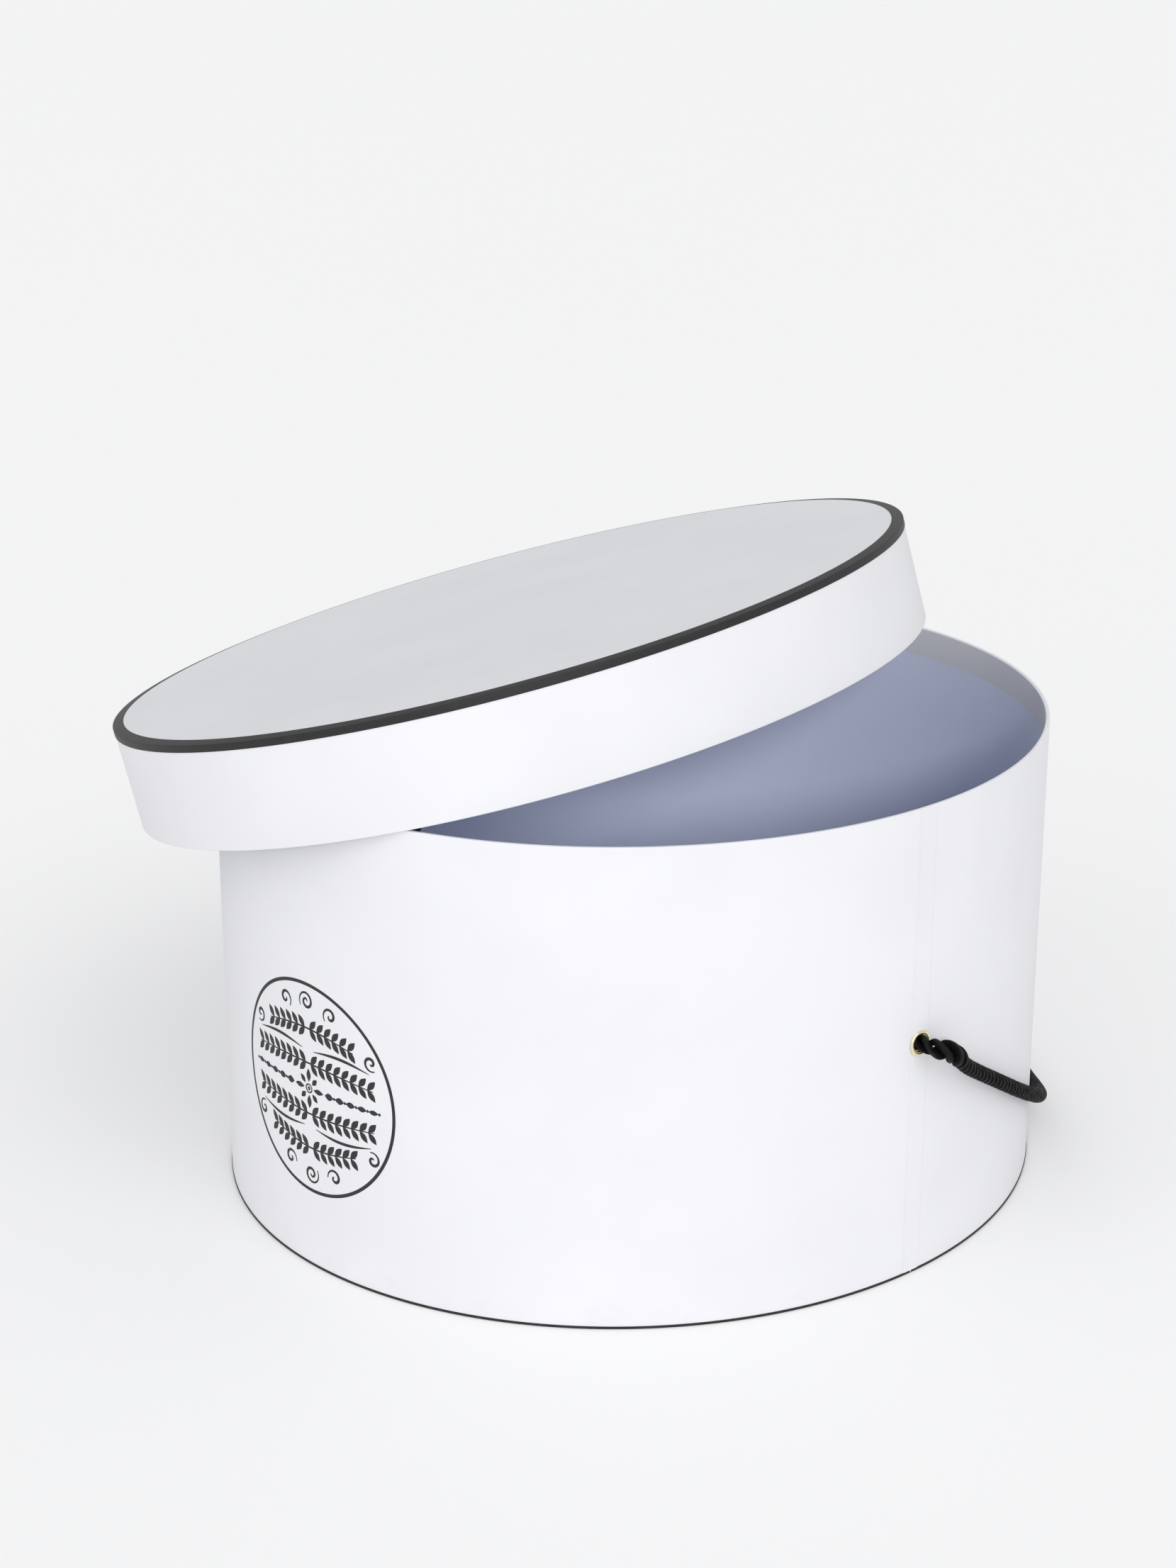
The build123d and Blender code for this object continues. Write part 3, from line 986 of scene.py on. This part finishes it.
class ArcTable:
    """Distance round the drum's face, by the oval's own angle from the middle of the front."""

    def __init__(self, limit=radians(60), steps=600):
        self.angles = [limit * step / steps for step in range(steps + 1)]
        self.reach = [0.0]
        for before, after in zip(self.angles, self.angles[1:]):
            middle = (before + after) / 2
            speed = hypot(HALF_WIDTH * cos(middle), HALF_LENGTH * sin(middle))
            self.reach.append(self.reach[-1] + speed * (after - before))

    def at(self, reach):
        found = min(max(bisect_left(self.reach, abs(reach)), 1), len(self.reach) - 1)
        share = (abs(reach) - self.reach[found - 1]) / (self.reach[found] - self.reach[found - 1])
        angle = self.angles[found - 1] + share * (self.angles[found] - self.angles[found - 1])
        return angle if reach >= 0 else -angle


ARC_TABLE = ArcTable()


def stroke(points, widths, ends=True):
    """One inked stroke: a flat ribbon through (across, up) points, with its width at each."""
    deselect()
    curve = bpy.data.curves.new("stroke", "CURVE")
    curve.dimensions = "3D"
    spline = curve.splines.new("POLY")
    spline.points.add(len(points) - 1)
    for point, (across, up), width in zip(spline.points, points, widths):
        point.co = (across, 0, up, 1)
        point.radius = width / 2
    spline.use_cyclic_u = not ends
    curve.bevel_depth = 1
    curve.bevel_resolution = 1
    curve.use_fill_caps = ends
    piece = bpy.data.objects.new("stroke", curve)
    bpy.context.collection.objects.link(piece)
    only(piece)
    bpy.ops.object.convert(target="MESH")
    return bpy.context.object


def swelling(count, thin, thick):
    """Widths that swell from thin to thick and back."""
    return [thin + (thick - thin) * sin(pi * index / (count - 1)) for index in range(count)]


def scroll(start, turns, size, mirror, lean):
    """A curl that winds out from its eye, as (across, up) points."""
    count = 36
    points = []
    for index in range(count):
        share = index / (count - 1)
        angle = radians(lean) + 2 * pi * turns * share
        radius = size * (0.1 + 0.9 * share)
        points.append((start[0] + mirror * radius * cos(angle), start[1] + radius * sin(angle)))
    return points


def arch(start, end, rise):
    """A shallow arch from one point to another."""
    count = 24
    points = []
    for index in range(count):
        share = index / (count - 1)
        across = start[0] + (end[0] - start[0]) * share
        up = start[1] + (end[1] - start[1]) * share + rise * sin(pi * share)
        points.append((across, up))
    return points


class HATBOX_OT_ornament(bpy.types.Operator):
    """Round printed ornament on the front of the drum"""
    bl_idname = "hatbox.ornament"
    bl_label = "Ornament"

    def execute(self, context):
        ink = ink_finish("black_ink", settings().ink_colour)
        self.unit = settings().ornament_radius / ORNAMENT_UNITS
        strokes = self.ring() + self.rosette() + self.garlands() + self.scrolls() + self.rules()
        piece = join("ornament", strokes)
        middle, height = settings().ornament_turn, settings().ornament_height
        face, back = 0.05 * MM, 0.005 * MM
        for vertex in piece.data.vertices:
            lift = face if vertex.co.y < -1e-6 else back
            vertex.co = wall_spot(middle + vertex.co.x, height + vertex.co.z, lift)
        finish_shape(piece, radians(60))
        piece.data.materials.append(ink.material)
        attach(piece, "box")
        return {"FINISHED"}

    def line(self, points, widths, ends=True):
        """One stroke, with sizes in units of the ornament."""
        scaled = [(across * self.unit, up * self.unit) for across, up in points]
        return stroke(scaled, [width * self.unit for width in widths], ends)

    def swelled(self, points, thin, thick):
        return self.line(points, swelling(len(points), thin, thick))

    def circle(self, centre, radius, width, count=40):
        points = []
        for index in range(count):
            angle = 2 * pi * index / count
            points.append((centre[0] + radius * cos(angle), centre[1] + radius * sin(angle)))
        return self.line(points, [width] * count, ends=False)

    def ring(self):
        return [self.circle((0, 0), 50.9, 1.9, 180)]

    def leaf(self, foot, lean, long, wide):
        """A solid leaf from its foot, leaning this many degrees from straight across."""
        turn = radians(lean)
        points = []
        for part in range(8):
            reach = long * part / 7
            points.append((foot[0] + reach * cos(turn), foot[1] + reach * sin(turn)))
        return self.swelled(points, 0.15, wide)

    def rosette(self):
        """Eight petals round a small eye."""
        strokes = [self.circle((0, 0), 2.0, 0.8), self.circle((0, 0), 0.6, 0.9, 12)]
        for petal in range(8):
            turn = 45 * petal
            foot = (3.3 * cos(radians(turn)), 3.3 * sin(radians(turn)))
            strokes.append(self.leaf(foot, turn, 6.4 if petal % 2 == 0 else 4.6, 3.0))
        return strokes

    def garlands(self):
        """Four arched stems with leaves in pairs that point away from the middle."""
        strokes = []
        rows = ((25.5, 29.0, 4.0, 6), (10.0, 40.0, 2.5, 8), (-10.0, 40.0, -2.5, 8), (-25.5, 29.0, -4.0, 6))
        for up, half, rise, leaves in rows:
            stem = arch((-half, up), (half, up), rise)
            strokes.append(self.swelled(stem, 0.5, 1.0))
            for mirror in (1, -1):
                for number in range(leaves):
                    across = half * (number + 0.35) / leaves
                    foot = (mirror * across, up + rise * cos(pi * across / (2 * half)))
                    for lean in (48, -48):
                        turn = lean if mirror > 0 else 180 - lean
                        strokes.append(self.leaf(foot, turn, 6.6, 3.6))
        for side in (1, -1):
            for number in range(5):
                across = side * (13.5 + 6.6 * number)
                strokes.append(self.leaf((across - 2.7, 0), 0, 5.4, 4.0 - 0.3 * number))
                strokes.append(self.circle((across + 3.3 * side, 0), 0.35, 0.9, 10))
        return strokes

    def scrolls(self):
        """Curls in pairs, and one open curl above and below."""
        curls = (((39.0, 23.5), 1.2, 4.0, 230), ((39.0, -23.5), 1.2, 4.0, 40), ((15.5, 39.5), 1.2, 4.4, 150),
                 ((15.5, -39.5), 1.2, 4.4, 120))
        strokes = []
        for mirror in (1, -1):
            for centre, turns, size, lean in curls:
                start = (mirror * centre[0], centre[1])
                strokes.append(self.swelled(scroll(start, turns, size, mirror, lean), 0.6, 1.7))
        for up in (1, -1):
            strokes.append(self.swelled(scroll((0, up * 42.5), 1.6, 5.0, 1, 90 - 90 * up), 0.6, 1.6))
        return strokes

    def rules(self):
        """Swelled rules that arch between the garlands."""
        arches = [((-38, 18.0), (-4, 19.0), 2.0, 1.7), ((4, 19.0), (38, 18.0), 2.0, 1.7)]
        strokes = []
        for start, end, rise, thick in arches:
            for up in (1, -1):
                points = arch((start[0], up * start[1]), (end[0], up * end[1]), up * rise)
                strokes.append(self.swelled(points, 0.3, thick))
        return strokes


# Floor, lights and camera

class HATBOX_OT_stage(bpy.types.Operator):
    """Plain pale floor, soft lights and the camera"""
    bl_idname = "hatbox.stage"
    bl_label = "Stage"

    def execute(self, context):
        deselect()
        bpy.ops.mesh.primitive_plane_add(size=60, location=(0, 0, 0))
        ground = bpy.context.object
        ground.name = "studio_floor"
        ground.data.materials.append(floor_finish("studio_floor", (0.90, 0.90, 0.90)).material)
        self.sky()
        self.lamp("key", azimuth=78, elevation=46, spread=45, strength=0.55)
        self.lamp("front", azimuth=50, elevation=20, spread=7, strength=0.9)
        self.lamp("fill", azimuth=5, elevation=25, spread=60, strength=0.3)
        self.camera()
        bpy.context.scene.view_settings.view_transform = "Standard"
        return {"FINISHED"}

    def sky(self):
        world = bpy.data.worlds.new("studio")
        world.use_nodes = True
        background = world.node_tree.nodes["Background"]
        background.inputs["Color"].default_value = (0.985, 0.99, 1.0, 1)
        background.inputs["Strength"].default_value = 0.75
        bpy.context.scene.world = world

    def lamp(self, name, azimuth, elevation, spread, strength):
        """A broad even light from far off, its angles in degrees."""
        deselect()
        turn, lift = radians(azimuth), radians(elevation)
        bpy.ops.object.light_add(type="SUN", location=(0, 0, 3), rotation=(pi / 2 - lift, 0, turn))
        lamp = bpy.context.object
        lamp.name = name
        lamp.data.angle = radians(spread)
        lamp.data.energy = strength

    def camera(self):
        """The camera looks down on the front right from this far off, along the floor and aside."""
        turn, down = radians(49.5), radians(19.09)
        level, aside, height = 1.2561, -0.0261, 0.6159
        spot = (aside * cos(turn) + level * sin(turn), aside * sin(turn) - level * cos(turn), height)
        deselect()
        bpy.ops.object.camera_add(location=spot, rotation=(pi / 2 - down, 0, turn))
        camera = bpy.context.object
        camera.data.sensor_fit = "HORIZONTAL"
        camera.data.sensor_width = 36
        camera.data.lens = 87.6
        camera.data.shift_x = 0.009
        camera.data.shift_y = -0.0054
        bpy.context.scene.camera = camera


class HATBOX_PT_panel(bpy.types.Panel):
    """Sizes, colours and steps of the hat box"""
    bl_idname = "HATBOX_PT_panel"
    bl_label = "Hat box"
    bl_space_type = "VIEW_3D"
    bl_region_type = "UI"
    bl_category = "Hat box"

    def draw(self, context):
        for name in HatBoxSettings.__annotations__:
            self.layout.prop(context.scene.hat_box, name)
        for step in STEPS:
            self.layout.operator(step.bl_idname)


STEPS = (HATBOX_OT_stage, HATBOX_OT_cord, HATBOX_OT_wall, HATBOX_OT_foot, HATBOX_OT_eyelets, HATBOX_OT_lid,
         HATBOX_OT_ornament)
CLASSES = (HatBoxSettings, *STEPS, HATBOX_PT_panel)


def register():
    for kind in CLASSES:
        bpy.utils.register_class(kind)
    bpy.types.Scene.hat_box = PointerProperty(type=HatBoxSettings)


def unregister():
    del bpy.types.Scene.hat_box
    for kind in reversed(CLASSES):
        bpy.utils.unregister_class(kind)


def main():
    register()
    for step in STEPS:
        area, name = step.bl_idname.split(".")
        getattr(getattr(bpy.ops, area), name)()


if __name__ == "__main__":
    main()
